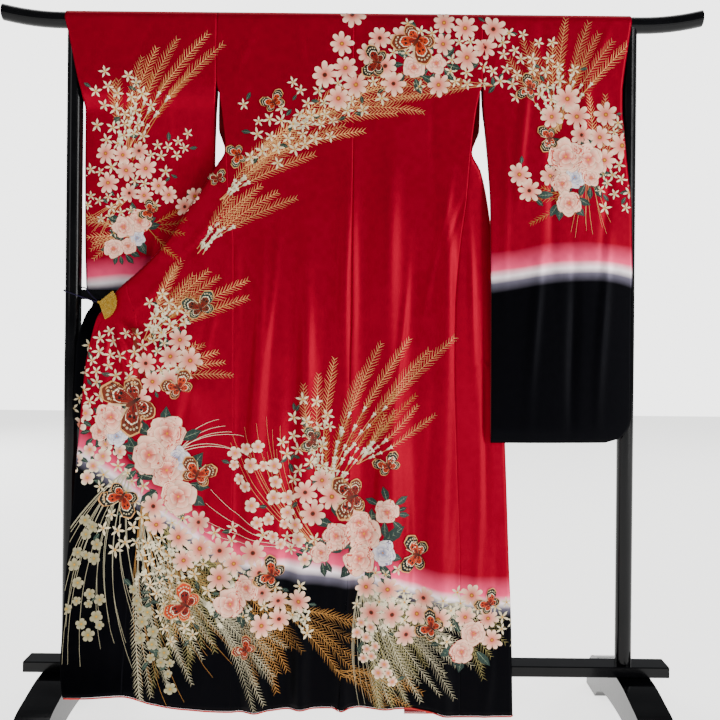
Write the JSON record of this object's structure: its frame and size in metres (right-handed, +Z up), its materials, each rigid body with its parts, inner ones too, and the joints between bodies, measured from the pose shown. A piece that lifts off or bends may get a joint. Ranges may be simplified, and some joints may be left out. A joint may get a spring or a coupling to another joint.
{
  "type": "furisode on kimono stand",
  "caption": "Long-sleeved crimson furisode hung over a black lacquered kimono stand, its left front opened out and tied to the post with a fan clip.",
  "frame": {"origin": "on the floor, midway between the two posts", "axes": "+Z up, X along the top rail, -Y toward the side that shows the garment's back"},
  "size_m": [1.652, 0.52, 1.6932],
  "materials": {
    "silk": "satin",
    "hem_silk": "satin",
    "lacquer": "gloss",
    "gold": "gloss",
    "cord": "matte"
  },
  "bodies": {
    "root": {"back_left": "silk", "back_right": "silk", "front_left": "silk", "front_right": "silk", "okumi_left": "silk", "okumi_right": "silk", "sleeve_left": "silk", "sleeve_right": "silk", "collar": "silk", "hem_edge_left": "hem_silk", "hem_edge_right": "hem_silk", "fan_clip": "gold", "clip_cord": "cord", "top_rail": "lacquer", "post_left": "lacquer", "post_right": "lacquer", "mid_rail": "lacquer", "lower_beam": "lacquer", "foot_left": "lacquer", "foot_right": "lacquer"}
  },
  "joints": []
}
